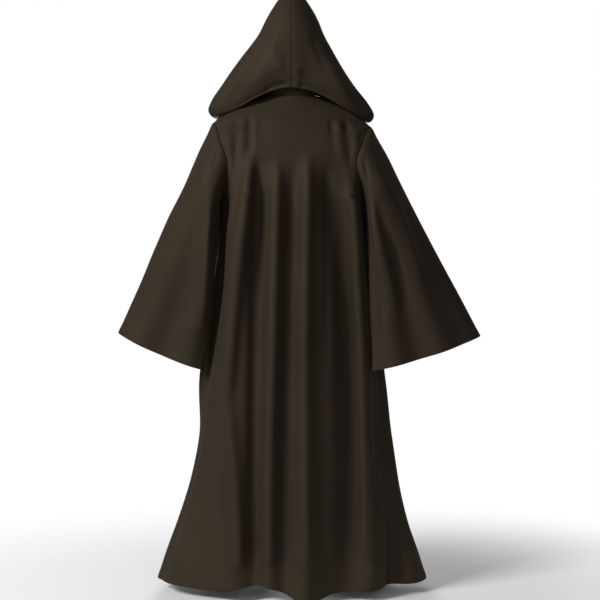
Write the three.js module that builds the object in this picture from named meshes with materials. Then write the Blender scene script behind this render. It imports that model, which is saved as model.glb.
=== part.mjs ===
import * as THREE from "three";

// A full-length hooded cloak with wide sleeves, worn over a general figure and filled out with no wearer.
// Millimetres, +Z up, the open front towards -Y, the wearer's left towards +X.
// The origin is the middle of the neck opening, where the wearer's shoulders carry the cloth.
// Each piece is a wall of cloth: a back, two fronts, two sleeves and the two halves of the hood.

const WALL = 2;
const SEAM_GAP = 0.6;
const HEM_HEIGHT = -1360;
const BACK_COLUMNS = 56;
const FRONT_COLUMNS = 24;
const SLEEVE_COLUMNS = 28;
const NECK_STEP = 2; // the hood has one column for each two of the body's
const NECK_GAP = 9; // half the gap between the front edges at the neck
const HEM_GAP = 52; // and at the hem
const TIP_ROW = 4; // row of BODY at the shoulder tip
const UNDERARM_ROW = 11; // row of BODY at the bottom of the armhole
const STEP = 0.02; // parameter step for surface normals
const DEGREE = Math.PI / 180;
const SIDES = { left: 1, right: -1 };

const cloth = new THREE.MeshStandardMaterial({ color: 0x33291f, roughness: 0.85, metalness: 0 });

function table(columns, ...rows) {
  return rows.map((row) => Object.fromEntries(columns.map((name, k) => [name, row[k]])));
}

// The rings of the body, from the neck seam down to the hem. half is the ring's half-width, back and front
// its depths behind and before the side seam, and square how far its corners fill out (2 is an ellipse).
// armBack and armFront are the angles of the armhole's edges, where 90 is the shoulder or side seam.
const BODY = table(
  ["half", "back", "front", "square", "zSide", "zBack", "zFront", "armBack", "armFront"],
  [82, 76, 62, 2.0, 30, 24, -62, 90, 90],
  [118, 93, 76, 2.0, 19, -2, -84, 90, 90],
  [155, 110, 90, 2.1, 4, -28, -108, 90, 90],
  [190, 126, 101, 2.2, -14, -60, -134, 90, 90],
  [222, 139, 108, 2.15, -40, -92, -160, 90, 90],
  [227, 143, 110, 2.3, -56, -111, -172, 70, 104],
  [229, 147, 112, 2.4, -78, -131, -187, 56, 116],
  [228, 150, 114, 2.5, -114, -156, -206, 48, 124],
  [223, 153, 117, 2.5, -160, -188, -230, 46, 126],
  [215, 155, 119, 2.5, -210, -223, -254, 52, 121],
  [209, 156, 121, 2.5, -258, -261, -276, 67, 111],
  [206, 157, 122, 2.5, -292, -292, -294, 90, 90],
  [220, 161, 127, 2.35, -400, -400, -400, 90, 90],
  [231, 166, 133, 2.25, -540, -540, -540, 90, 90],
  [243, 171, 140, 2.2, -680, -680, -680, 90, 90],
  [259, 176, 148, 2.2, -810, -810, -810, 90, 90],
  [274, 181, 158, 2.2, -950, -950, -950, 90, 90],
  [299, 185, 168, 2.15, -1080, -1080, -1080, 90, 90],
  [331, 188, 177, 2.05, -1190, -1190, -1190, 90, 90],
  [365, 190, 183, 1.95, -1285, -1287, -1285, 90, 90],
  [389, 190, 188, 1.9, HEM_HEIGHT, HEM_HEIGHT - 6, HEM_HEIGHT, 90, 90],
);
const RIGHT_SHOULDER_DROP = 12; // the wearer's right shoulder is the lower one
const DROP_FROM = 60; // distance from the middle at which the shoulder starts to drop
const DROP_TO = 220; // and at which it has dropped all the way
const FOLD_RISE = 0.14; // share of a fold's length over which it comes up from flat

// The body's long folds, each between the heights from and to. Angles run from the centre back, positive
// towards the wearer's left: top, middle and low are a fold's place on its way down, reachTop and reachLow its
// half-width, and depthMiddle and depthLow how far it stands out.
const FOLDS = table(
  ["from", "to", "top", "middle", "low", "reachTop", "reachLow", "depthMiddle", "depthLow"],
  [-100, HEM_HEIGHT, 18, 43, 25, 8, 7, 22, 12],
  [-120, -980, 46, 64, 76, 6, 7, -12, -6],
  [-150, HEM_HEIGHT, 8, 10, 11, 4, 4, 14, 18],
  [-130, HEM_HEIGHT, 20, 21, 16, 6, 6, -18, -26],
  [-150, HEM_HEIGHT, -2, 2, 3, 4, 4, -10, -12],
  [-130, HEM_HEIGHT, -9, -7, -6, 5, 6, 18, 32],
  [-130, HEM_HEIGHT, -22, -42, -24, 11, 10, -22, -24],
  [-150, HEM_HEIGHT, -38, -53, -33, 7, 7, 15, 20],
  [-300, HEM_HEIGHT, -70, -76, -51, 7, 8, -10, -44],
  [-560, -1000, 100, 104, 106, 9, 9, 24, 0],
  [-640, -1260, -88, -88, -88, 14, 14, 15, 0],
  [-760, -1260, 86, 84, 82, 12, 10, -8, 0],
  [-420, HEM_HEIGHT, 112, 118, 116, 7, 9, 8, 26],
  [-300, HEM_HEIGHT, 136, 136, 134, 7, 9, -10, -30],
  [-170, HEM_HEIGHT, 152, 151, 149, 7, 9, 9, 30],
  [-260, HEM_HEIGHT, 166, 164, 163, 6, 7, -6, -20],
  [-420, HEM_HEIGHT, -114, -110, -110, 8, 9, 8, 22],
  [-300, HEM_HEIGHT, -131, -130, -127, 7, 9, -10, -34],
  [-170, HEM_HEIGHT, -147, -146, -143, 7, 9, 9, 32],
  [-260, HEM_HEIGHT, -163, -162, -160, 6, 7, -7, -20],
  [-40, -620, 52, 46, 44, 15, 10, 20, 0],
  [-40, -620, -52, -47, -46, 15, 10, 18, 0],
  [-270, -520, 78, 80, 80, 9, 9, -6, 0],
  [-270, -520, -78, -80, -80, 9, 9, -6, 0],
);

// The hem's waves: the angle and half-width of each, and how far it hangs down there. They fade out up the skirt.
const HEM_WAVES = table(["at", "reach", "drop"], [14, 11, -20], [-7, 10, 20]);
const WAVE_ROW = 15; // row of BODY at which the waves set in

// The lines over and under each arm, how far the one under it lies back, and the depth behind and before the
// arm, from the armhole to the cuff. The wearer's right arm is held further out.
const SLEEVE_COLUMN_NAMES = ["along", "over", "overDown", "under", "underDown", "underBack", "back", "front"];
const SLEEVES = {
  left: table(
    SLEEVE_COLUMN_NAMES,
    [0.0, 222, -40, 206, -290, 0, 140, 96],
    [0.04, 237, -62, 212, -312, 24, 133, 95],
    [0.09, 252, -92, 211, -338, 46, 125, 93],
    [0.17, 272, -134, 211, -378, 72, 113, 92],
    [0.3, 309, -220, 216, -446, 88, 97, 93],
    [0.46, 354, -323, 222, -525, 88, 82, 96],
    [0.64, 405, -436, 229, -604, 78, 72, 101],
    [0.82, 456, -545, 237, -683, 69, 68, 106],
    [1.0, 504, -652, 251, -757, 68, 60, 110],
  ),
  right: table(
    SLEEVE_COLUMN_NAMES,
    [0.0, 222, -52, 206, -290, 0, 140, 96],
    [0.04, 238, -74, 210, -312, 24, 133, 95],
    [0.09, 254, -103, 210, -338, 46, 125, 93],
    [0.17, 277, -143, 211, -378, 72, 113, 92],
    [0.3, 319, -229, 214, -446, 90, 97, 93],
    [0.46, 371, -331, 217, -525, 98, 84, 96],
    [0.64, 430, -443, 221, -604, 104, 77, 100],
    [0.82, 489, -552, 225, -683, 103, 74, 104],
    [1.0, 546, -661, 227, -757, 113, 68, 108],
  ),
};
const SLEEVE_ROWS = 12;
const SLEEVE_PUFF = 7; // how far the sleeve's head stands off the armhole
const CUFF_TAPER = 0.42; // how far the cuff's section narrows under the arm
const CUFF_SAG = 7; // and how far its edge hangs down between its ends
const BLEND_LENGTH = 0.17; // share of the sleeve over which its section leaves the armhole's outline

// The sleeves' long folds: angles run from over the arm round behind it, as a fold's place and half-width at
// the top and at the cuff, and how far it stands out there.
const SLEEVE_FOLDS = table(
  ["side", "atTop", "atCuff", "reachTop", "reachCuff", "depthTop", "depthCuff"],
  ["left", 62, 58, 18, 20, 3, 7],
  ["left", 96, 92, 14, 18, -6, -12],
  ["left", 130, 134, 12, 16, 5, 9],
  ["left", 250, 244, 16, 18, -6, -12],
  ["left", 292, 290, 16, 18, 4, 9],
  ["right", 52, 48, 14, 16, -4, -8],
  ["right", 78, 74, 14, 15, 6, 11],
  ["right", 104, 100, 12, 14, -7, -14],
  ["right", 130, 126, 12, 14, 6, 11],
  ["right", 244, 240, 16, 18, -6, -12],
  ["right", 286, 284, 16, 18, 5, 10],
);

// The hood's rings, from the neck seam out along the shoulders, round the roll at the bottom and up to the
// seam over the crown. end is the angle of the face edge, and pull how soon the height changes round a ring.
const HOOD = table(
  ["half", "back", "front", "zSide", "zBack", "zFront", "end", "pull"],
  [82, 76, 62, 30, 24, -62, 173.7, 2],
  [96, 80, 70, 37, 38, -54, 171, 2],
  [154, 88, 92, 22, 41, -84, 164, 3],
  [214, 97, 118, -28, 43, -124, 156, 4],
  [240, 105, 134, -12, 58, -100, 149, 4],
  [226, 114, 141, 21, 82, -42, 145, 3.5],
  [191, 118, 146, 65, 112, 14, 143, 3],
  [158, 121, 149, 111, 146, 71, 142, 2.5],
  [129, 121, 151, 155, 182, 128, 142, 2],
  [98, 115, 152, 203, 222, 182, 143, 2],
  [77, 103, 152, 248, 265, 226, 145, 2],
  [59, 86, 150, 280, 295, 253, 148, 2],
  [34, 61, 148, 316, 325, 276, 155, 2],
  [0, 32, 144, 345, 341, 290, 180, 2],
);
const RIGHT_LOBE_DROP = 14; // the hood hangs a little lower on the wearer's right shoulder
const LOBE_ROW = 3.5; // ring of HOOD round the roll
const LOBE_REACH = 2.2; // rings over which the drop fades
const LOBE_RISE = [1, 3]; // rings over which it sets in above the neck seam
const HOOD_FOLDS = table(
  ["side", "at", "row", "reach", "rows", "depth"],
  ["left", 80, 6.6, 40, 2.0, 13],
  ["left", 22, 6.4, 8, 1.8, 5],
  ["left", 44, 4.6, 9, 1.3, -6],
  ["left", 112, 6.0, 12, 2.5, -7],
  ["right", 80, 6.6, 40, 2.0, -11],
  ["right", 16, 5.6, 8, 1.6, -5],
  ["right", 34, 6.0, 9, 2.0, 5],
  ["right", 58, 4.8, 10, 1.4, -5],
  ["right", 112, 6.0, 12, 2.5, -7],
);

// A column of a table, read smoothly between its rows.
function along(rows, column, v) {
  const last = rows.length - 1;
  const k = Math.min(Math.max(Math.floor(v), 0), last - 1);
  const [a, b, c, d] = [-1, 0, 1, 2].map((n) => rows[Math.min(Math.max(k + n, 0), last)][column]);
  const t = v - k;
  const [slopeB, slopeC] = [(c - a) / 2, (d - b) / 2];
  const [t2, t3] = [t * t, t * t * t];
  return (2 * t3 - 3 * t2 + 1) * b + (t3 - 2 * t2 + t) * slopeB + (3 * t2 - 2 * t3) * c + (t3 - t2) * slopeC;
}

const mix = THREE.MathUtils.lerp;
const ease = THREE.MathUtils.smoothstep;

// A smooth hump of height 1 round the middle, for a distance in degrees that may wrap round the ring.
function hump(angle, middle, reach) {
  const away = ((((angle - middle + 180) % 360) + 360) % 360) - 180;
  return Math.exp(-((away / reach) ** 2));
}

// A point of a rounded ring in plan, and the way out from it.
function ringPoint(angle, half, back, front, square) {
  const [s, c] = [Math.sin(angle), Math.cos(angle)];
  const depth = c > 0 ? back : front;
  const power = (value, exponent) => Math.sign(value) * Math.abs(value) ** exponent;
  const at = new THREE.Vector3(half * power(s, 2 / square), depth * power(c, 2 / square), 0);
  const out = new THREE.Vector3(depth * power(s, 2 - 2 / square), half * power(c, 2 - 2 / square), 0);
  return { at, out: out.normalize() };
}

// A smooth way through three values, at shares 0, 0.5 and 1.
function through(top, middle, low, share) {
  return top * (1 - share) * (1 - 2 * share) + 4 * middle * share * (1 - share) + low * share * (2 * share - 1);
}

function foldDepth(angle, z) {
  let depth = 0;
  for (const fold of FOLDS) {
    const down = THREE.MathUtils.clamp((fold.from - z) / (fold.from - fold.to), 0, 1);
    const place = through(fold.top, fold.middle, fold.low, down);
    const reach = mix(fold.reachTop, fold.reachLow, down);
    const height = mix(fold.depthMiddle, fold.depthLow, ease(down, 0.5, 1)) * ease(down, 0, FOLD_RISE);
    depth += height * hump(angle / DEGREE, place, reach);
  }
  return depth;
}

function bodyPoint(angle, v) {
  const row = (column) => along(BODY, column, v);
  const { at, out } = ringPoint(angle, row("half"), row("back"), row("front"), row("square"));
  const c = Math.cos(angle);
  at.z = row("zSide") + c * c * (row(c > 0 ? "zBack" : "zFront") - row("zSide"));
  at.addScaledVector(out, foldDepth(angle, at.z));
  for (const wave of HEM_WAVES)
    at.z -= wave.drop * hump(angle / DEGREE, wave.at, wave.reach) * ease(v, WAVE_ROW, BODY.length - 1);
  at.z -= RIGHT_SHOULDER_DROP * ease(-at.x, DROP_FROM, DROP_TO) * (1 - ease(v, TIP_ROW, UNDERARM_ROW));
  return at;
}

// The way out of a surface given by two parameters, the first running round it and the second down it.
function outwardOf(surface, a, b) {
  const round = surface(a + STEP, b).sub(surface(a - STEP, b));
  const down = surface(a, b + STEP).sub(surface(a, b - STEP));
  return round.cross(down).normalize();
}

// A closed wall of cloth from a grid of points and the ways out at them. A tube joins its last column to its first.
function wallGeometry(points, outs, tube = false) {
  const rows = points.length;
  const columns = points[0].length;
  const positions = [];
  const index = [];
  for (const [layer, depth] of [0, WALL].entries())
    for (let j = 0; j < rows; j++)
      for (let i = 0; i < columns; i++)
        positions.push(...points[j][i].clone().addScaledVector(outs[j][i], -depth * (layer ? 1 : 0)).toArray());
  const vertex = (layer, j, i) => (layer * rows + j) * columns + (i % columns);
  const quad = (a, b, c, d) => index.push(a, b, c, a, c, d);
  const spans = tube ? columns : columns - 1;
  for (let j = 0; j < rows - 1; j++)
    for (let i = 0; i < spans; i++) {
      quad(vertex(0, j, i), vertex(0, j, i + 1), vertex(0, j + 1, i + 1), vertex(0, j + 1, i));
      quad(vertex(1, j, i), vertex(1, j + 1, i), vertex(1, j + 1, i + 1), vertex(1, j, i + 1));
    }
  for (let i = 0; i < spans; i++) {
    quad(vertex(0, 0, i), vertex(1, 0, i), vertex(1, 0, i + 1), vertex(0, 0, i + 1));
    quad(vertex(0, rows - 1, i + 1), vertex(1, rows - 1, i + 1), vertex(1, rows - 1, i), vertex(0, rows - 1, i));
  }
  if (!tube)
    for (let j = 0; j < rows - 1; j++) {
      quad(vertex(0, j + 1, 0), vertex(1, j + 1, 0), vertex(1, j, 0), vertex(0, j, 0));
      quad(vertex(0, j, spans), vertex(1, j, spans), vertex(1, j + 1, spans), vertex(0, j + 1, spans));
    }
  const geometry = new THREE.BufferGeometry();
  geometry.setAttribute("position", new THREE.Float32BufferAttribute(positions, 3));
  geometry.setIndex(index);
  geometry.computeVertexNormals();
  return geometry;
}

function meshOf(name, points, outs, tube) {
  const mesh = new THREE.Mesh(wallGeometry(points, outs, tube), cloth);
  mesh.name = name;
  return mesh;
}

// The angle of the front edge at a ring, so that the gap between the fronts widens from the neck to the hem.
function frontEdge(v) {
  const reach = mix(NECK_GAP, HEM_GAP, v / (BODY.length - 1)) / along(BODY, "half", v);
  return Math.PI - Math.asin(reach ** (along(BODY, "square", v) / 2));
}

// A body panel between two edge angles given for each ring, with half the seam's gap taken off each edge.
// Along the neck every second point lies on the line between its neighbours, where the hood's edge meets it.
function bodyPanel(name, columns, startOf, endOf) {
  const points = [];
  const outs = [];
  for (let v = 0; v < BODY.length; v++) {
    const angles = Array.from({ length: columns + 1 }, (_, i) => mix(startOf(v), endOf(v), i / columns));
    const ring = angles.map((angle) => bodyPoint(angle, v));
    for (const [edge, next] of [[0, 1], [columns, columns - 1]])
      ring[edge].addScaledVector(ring[next].clone().sub(ring[edge]).normalize(), SEAM_GAP / 2);
    points.push(ring);
    outs.push(angles.map((angle) => outwardOf(bodyPoint, angle, v)));
  }
  for (let i = 1; i < columns; i += NECK_STEP) points[0][i].lerpVectors(points[0][i - 1], points[0][i + 1], 0.5);
  return meshOf(name, points, outs);
}

// The armhole's outline, from the shoulder tip down behind to the underarm and up before: the panels' own edge
// points, with the way out of the cloth at each and the way across the seam into the opening.
function armholeOutline(side) {
  const edge = (column, v) => {
    const angle = side * along(BODY, column, v) * DEGREE;
    return { at: bodyPoint(angle, v), out: outwardOf(bodyPoint, angle, v) };
  };
  const outline = [];
  for (let v = TIP_ROW; v < UNDERARM_ROW; v++) outline.push(edge("armBack", v));
  for (let v = UNDERARM_ROW; v > TIP_ROW; v--) outline.push(edge("armFront", v));
  const count = outline.length;
  outline.forEach((point, k) => {
    const round = outline[(k + 1) % count].at.clone().sub(outline[(k + count - 1) % count].at);
    point.across = round.cross(point.out).normalize();
    const inwards = outline[(k + count / 2) % count].at.clone().sub(point.at);
    point.across.multiplyScalar(Math.sign(point.across.dot(inwards)));
  });
  return outline;
}

// The outline read at a share of the way round, straight between its points, and moved across the seam's gap.
function armholePoint(outline, share) {
  const place = (((share % 1) + 1) % 1) * outline.length;
  const k = Math.floor(place);
  const [a, b] = [outline[k], outline[(k + 1) % outline.length]];
  const [at, out, across] = ["at", "out", "across"].map((key) => a[key].clone().lerp(b[key], place - k));
  return { at: at.addScaledVector(across, SEAM_GAP / 2), out: out.normalize(), across: across.normalize() };
}

// A point of a sleeve, at an angle from over the arm round behind it.
function sleevePoint(name, outline, angle, v) {
  const row = (column) => along(SLEEVES[name], column, v);
  const share = row("along");
  const over = new THREE.Vector3(row("over"), 0, row("overDown"));
  const under = new THREE.Vector3(row("under"), row("underBack"), row("underDown"));
  const [c, s] = [Math.cos(angle), Math.sin(angle)];
  const taper = 1 - CUFF_TAPER * share * (1 - c) * 0.5;
  let fold = 0;
  for (const f of SLEEVE_FOLDS.filter((f) => f.side === name)) {
    const size = mix(f.depthTop, f.depthCuff, share) * ease(share, 0, 2 * BLEND_LENGTH);
    fold += size * hump(angle / DEGREE, mix(f.atTop, f.atCuff, share), mix(f.reachTop, f.reachCuff, share));
  }
  const section = over.clone().add(under).multiplyScalar(0.5);
  section.addScaledVector(over.clone().sub(under), c / 2);
  section.y += s * ((s > 0 ? row("back") : row("front")) * taper + fold);
  section.z -= CUFF_SAG * s * s * share ** 3;
  section.x *= SIDES[name];
  const edge = armholePoint(outline, angle / (2 * Math.PI));
  const blend = ease(share, 0, BLEND_LENGTH);
  edge.at.addScaledVector(edge.out, SLEEVE_PUFF * ease(share, 0, BLEND_LENGTH / 2) * (1 - blend));
  return edge.at.lerp(section, blend);
}

function sleeve(name) {
  const side = SIDES[name];
  const outline = armholeOutline(side);
  const surface = (angle, v) => sleevePoint(name, outline, -side * angle, v);
  const angles = Array.from({ length: SLEEVE_COLUMNS }, (_, i) => (i / SLEEVE_COLUMNS) * 2 * Math.PI);
  const points = [];
  const outs = [];
  for (let j = 0; j <= SLEEVE_ROWS; j++) {
    const v = (j / SLEEVE_ROWS) * (SLEEVES[name].length - 1);
    points.push(angles.map((angle) => surface(angle, v)));
    outs.push(
      angles.map((angle) => {
        const out = outwardOf(surface, angle, Math.max(v, STEP));
        const { across } = armholePoint(outline, (-side * angle) / (2 * Math.PI));
        return j > 0 ? out : out.addScaledVector(across, -Math.max(0, out.dot(across))).normalize();
      }),
    );
  }
  return meshOf(`sleeve_${name}`, points, outs, true);
}

// A point of a hood half on the wearer's left, or its mirror image with the right one's own folds. Columns run
// from the seam behind to the face edge.
function hoodPoint(name, column, v) {
  const row = (quantity) => along(HOOD, quantity, v);
  const backColumns = BACK_COLUMNS / 2 / NECK_STEP;
  const frontColumns = FRONT_COLUMNS / NECK_STEP;
  const behind = (column / backColumns) * 90;
  const before = 90 + ((column - backColumns) / frontColumns) * (row("end") - 90);
  const degrees = column < backColumns ? behind : before;
  const angle = degrees * DEGREE;
  const { at, out } = ringPoint(angle, row("half"), row("back"), row("front"), 2);
  const c = Math.cos(angle);
  const weight = Math.abs(c) ** row("pull");
  at.z = row("zSide") + weight * (row(c > 0 ? "zBack" : "zFront") - row("zSide"));
  if (name === "right")
    at.z -= RIGHT_LOBE_DROP * hump(v, LOBE_ROW, LOBE_REACH) * (1 - Math.abs(c)) * ease(v, ...LOBE_RISE);
  for (const f of HOOD_FOLDS.filter((f) => f.side === name))
    at.addScaledVector(out, f.depth * hump(degrees, f.at, f.reach) * hump(v, f.row, f.rows));
  return at;
}

function hoodHalf(name) {
  const side = SIDES[name];
  const columns = BACK_COLUMNS / 2 / NECK_STEP + FRONT_COLUMNS / NECK_STEP;
  const last = HOOD.length - 1;
  const order = Array.from({ length: columns + 1 }, (_, i) => (side > 0 ? i : columns - i));
  const surface = (column, v) => hoodPoint(name, column, v);
  const points = [];
  const outs = [];
  for (let v = 0; v <= last; v++) {
    points.push(
      order.map((column) => {
        const at = surface(column, v);
        if (v === 0) at.z += SEAM_GAP;
        at.x = side * Math.max(at.x, SEAM_GAP / 2);
        return at;
      }),
    );
    outs.push(
      order.map((column) => {
        const out = outwardOf(surface, column, Math.min(Math.max(v, STEP), last - STEP)).negate();
        out.x *= side;
        if (column === 0 || v === last) out.x = 0;
        return out.normalize();
      }),
    );
  }
  return meshOf(`hood_${name}`, points.reverse(), outs.reverse());
}

const cloak = new THREE.Group();
const armhole = (column) => (v) => along(BODY, column, v) * DEGREE;
const negative = (edge) => (v) => -edge(v);
cloak.add(
  bodyPanel("back", BACK_COLUMNS, negative(armhole("armBack")), armhole("armBack")),
  bodyPanel("front_left", FRONT_COLUMNS, armhole("armFront"), frontEdge),
  bodyPanel("front_right", FRONT_COLUMNS, negative(frontEdge), negative(armhole("armFront"))),
);
for (const name of Object.keys(SIDES)) cloak.add(sleeve(name), hoodHalf(name));

export default cloak;
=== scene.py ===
"""A full-length hooded cloak with wide bell sleeves, in its worn shape, seen from behind.

Metres, +Z up, the open front towards -Y, the wearer's left towards +X, the origin in the middle of the
neck. The tables are in millimetres and are turned into metres when a surface is read.
"""

import math
from collections import namedtuple

import bmesh
import bpy
import numpy as np
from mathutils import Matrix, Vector


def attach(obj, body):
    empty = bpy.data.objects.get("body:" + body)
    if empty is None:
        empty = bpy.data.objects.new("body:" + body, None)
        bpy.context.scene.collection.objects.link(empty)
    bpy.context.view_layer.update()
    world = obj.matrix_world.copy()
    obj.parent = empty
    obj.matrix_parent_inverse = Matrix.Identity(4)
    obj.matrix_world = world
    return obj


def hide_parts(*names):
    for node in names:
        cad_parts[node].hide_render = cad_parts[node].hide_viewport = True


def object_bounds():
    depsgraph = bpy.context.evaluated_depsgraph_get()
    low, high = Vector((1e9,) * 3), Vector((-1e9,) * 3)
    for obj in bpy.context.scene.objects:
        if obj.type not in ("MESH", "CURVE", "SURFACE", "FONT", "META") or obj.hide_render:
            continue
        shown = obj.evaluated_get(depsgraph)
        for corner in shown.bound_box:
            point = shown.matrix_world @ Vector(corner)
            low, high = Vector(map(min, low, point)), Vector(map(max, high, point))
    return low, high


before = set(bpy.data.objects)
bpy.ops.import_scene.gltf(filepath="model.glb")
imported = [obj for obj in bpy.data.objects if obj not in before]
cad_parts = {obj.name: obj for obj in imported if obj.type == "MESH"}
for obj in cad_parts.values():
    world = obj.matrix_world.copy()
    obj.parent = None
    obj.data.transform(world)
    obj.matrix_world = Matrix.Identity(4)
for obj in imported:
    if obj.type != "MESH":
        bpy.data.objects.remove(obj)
cad_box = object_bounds()

bl_info = {
    "name": "Hooded cloak",
    "version": (1, 0, 0),
    "blender": (4, 5, 0),
    "location": "View3D > Sidebar > Cloak",
    "description": "Makes a hooded cloak from its sewn pieces, with its cloth and a plain stage",
    "category": "Object",
}

MM = 0.001
SEED = 7
SIDES = {"left": 1, "right": -1}

# The rings of the body, from the neck seam down to the hem: half-width, depths behind and before the side
# seam, how far the corners fill out, the heights at the side, back and front, and the armhole's edges as
# angles.
BODY_COLUMNS = "half back front square z_side z_back z_front arm_back arm_front"
BODY_ROWS = [
    (82, 76, 62, 2.0, 30, 24, -62, 90, 90),
    (118, 93, 76, 2.0, 19, -2, -84, 90, 90),
    (155, 110, 90, 2.1, 4, -28, -108, 90, 90),
    (190, 128, 101, 2.2, -14, -60, -134, 90, 90),
    (222, 138.5, 108, 2.15, -40, -92, -160, 90, 90),
    (227, 143.5, 110, 2.3, -56, -111, -172, 70, 104),
    (229, 147, 112, 2.4, -78, -131, -187, 56, 116),
    (228, 150, 114, 2.5, -114, -156, -206, 48, 124),
    (223, 153, 117, 2.5, -160, -188, -230, 46, 126),
    (215, 155, 119, 2.5, -210, -223, -254, 52, 121),
    (209, 156, 121, 2.5, -258, -261, -276, 67, 111),
    (206, 157, 122, 2.5, -292, -292, -294, 90, 90),
    (220, 161, 127, 2.35, -400, -400, -400, 90, 90),
    (231, 166, 133, 2.25, -540, -540, -540, 90, 90),
    (243, 171, 140, 2.2, -680, -680, -680, 90, 90),
    (259, 176, 148, 2.2, -810, -810, -810, 90, 90),
    (274, 181, 158, 2.2, -950, -950, -950, 90, 90),
    (299, 185, 168, 2.15, -1080, -1080, -1080, 90, 90),
    (331, 188, 177, 2.05, -1190, -1190, -1190, 90, 90),
    (365, 190, 183, 1.95, -1285, -1287, -1285, 90, 90),
    (389, 190, 188, 1.9, -1360, -1366, -1360, 90, 90),
]
TIP_ROW = 4
UNDERARM_ROW = 11

# The right shoulder hangs lower, by an amount that grows with the distance from the middle.
RIGHT_SHOULDER_DROP = 12
DROP_FROM = 60
DROP_TO = 220

# Half the gap between the fronts, at the neck and at the hem.
NECK_GAP = 9
HEM_GAP = 52

# The long folds of the body: angles run from the centre back, positive towards the wearer's left.
Fold = namedtuple("Fold", "start end top middle low reach_top reach_low depth_middle depth_low")
HEM = -1360
FOLD_RISE = 0.14
FOLDS = [
    Fold(-100, HEM, 18, 43, 25, 8, 7, 22, 12),
    Fold(-120, -980, 46, 64, 76, 6, 7, -12, -6),
    Fold(-150, HEM, 8, 10, 11, 4, 4, 14, 18),
    Fold(-130, HEM, 20, 21, 16, 6, 6, -18, -26),
    Fold(-150, HEM, -2, 2, 3, 4, 4, -10, -12),
    Fold(-130, HEM, -9, -7, -6, 5, 6, 18, 32),
    Fold(-130, HEM, -22, -42, -24, 11, 10, -22, -24),
    Fold(-150, HEM, -38, -53, -33, 7, 7, 15, 20),
    Fold(-300, HEM, -70, -76, -51, 7, 8, -10, -44),
    Fold(-560, -1000, 100, 104, 106, 9, 9, 24, 0),
    Fold(-640, -1260, -88, -88, -88, 14, 14, 15, 0),
    Fold(-760, -1260, 86, 84, 82, 12, 10, -8, 0),
    Fold(-420, HEM, 112, 118, 116, 7, 9, 8, 26),
    Fold(-300, HEM, 136, 136, 134, 7, 9, -10, -30),
    Fold(-170, HEM, 152, 151, 149, 7, 9, 9, 30),
    Fold(-260, HEM, 166, 164, 163, 6, 7, -6, -20),
    Fold(-420, HEM, -114, -110, -110, 8, 9, 8, 22),
    Fold(-300, HEM, -131, -130, -127, 7, 9, -10, -34),
    Fold(-170, HEM, -147, -146, -143, 7, 9, 9, 32),
    Fold(-260, HEM, -163, -162, -160, 6, 7, -7, -20),
    Fold(-40, -620, 52, 46, 44, 15, 10, 20, 0),
    Fold(-40, -620, -52, -47, -46, 15, 10, 18, 0),
    Fold(-270, -520, 78, 80, 80, 9, 9, -6, 0),
    Fold(-270, -520, -78, -80, -80, 9, 9, -6, 0),
    Fold(-290, -440, 95, 95, 95, 9, 9, 4.5, 0),
    Fold(-290, -440, -95, -95, -95, 9, 9, 4.5, 0),
]

# The hem's waves, which fade out up the skirt.
Wave = namedtuple("Wave", "at reach drop")
HEM_WAVES = [Wave(14, 11, -20), Wave(-7, 10, 20)]
WAVE_ROW = 15

# The lines over and under each arm, and the sleeve's depth behind and before it, from armhole to cuff.
SLEEVE_COLUMNS = "along over over_down under under_down under_back back front"
SLEEVE_ROWS = {
    "left": [
        (0.0, 222, -40, 206, -290, 0, 140, 96),
        (0.04, 237, -62, 209, -312, 17, 133, 95),
        (0.09, 252, -92, 210, -338, 46, 125, 93),
        (0.17, 272, -134, 211, -378, 72, 113, 92),
        (0.3, 309, -220, 216, -446, 88, 97, 93),
        (0.46, 354, -323, 222, -525, 88, 82, 96),
        (0.64, 405, -436, 229, -604, 78, 72, 101),
        (0.82, 456, -545, 237, -683, 69, 68, 106),
        (1.0, 504, -652, 251, -757, 68, 60, 110),
    ],
    "right": [
        (0.0, 222, -52, 206, -290, 0, 140, 96),
        (0.04, 238, -74, 208.5, -312, 17, 133, 95),
        (0.09, 254, -103, 210, -338, 46, 125, 93),
        (0.17, 277, -143, 211, -378, 72, 113, 92),
        (0.3, 319, -229, 214, -446, 90, 97, 93),
        (0.46, 371, -331, 217, -525, 98, 84, 96),
        (0.64, 430, -443, 221, -604, 104, 77, 100),
        (0.82, 489, -552, 225, -683, 103, 74, 104),
        (1.0, 546, -661, 227, -757, 113, 68, 108),
    ],
}
SLEEVE_PUFF = 7
CUFF_TAPER = 0.42
CUFF_SAG = 7

# The share of the sleeve's length over which it leaves the armhole's outline.
BLEND_LENGTH = 0.17
NORMAL_STEP = 0.02

# Folds down the sleeve: angles run from over the arm round behind it.
SleeveFold = namedtuple("SleeveFold", "at_top at_cuff reach_top reach_cuff depth_top depth_cuff")
SLEEVE_FOLDS = {
    "left": [
        SleeveFold(62, 58, 18, 20, 3, 7),
        SleeveFold(96, 92, 14, 18, -6, -12),
        SleeveFold(130, 134, 12, 16, 5, 9),
        SleeveFold(250, 244, 16, 18, -6, -12),
        SleeveFold(292, 290, 16, 18, 4, 9),
    ],
    "right": [
        SleeveFold(52, 48, 14, 16, -4, -8),
        SleeveFold(78, 74, 14, 15, 6, 11),
        SleeveFold(104, 100, 12, 14, -7, -14),
        SleeveFold(130, 126, 12, 14, 6, 11),
        SleeveFold(244, 240, 16, 18, -6, -12),
        SleeveFold(286, 284, 16, 18, 5, 10),
    ],
}

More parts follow.
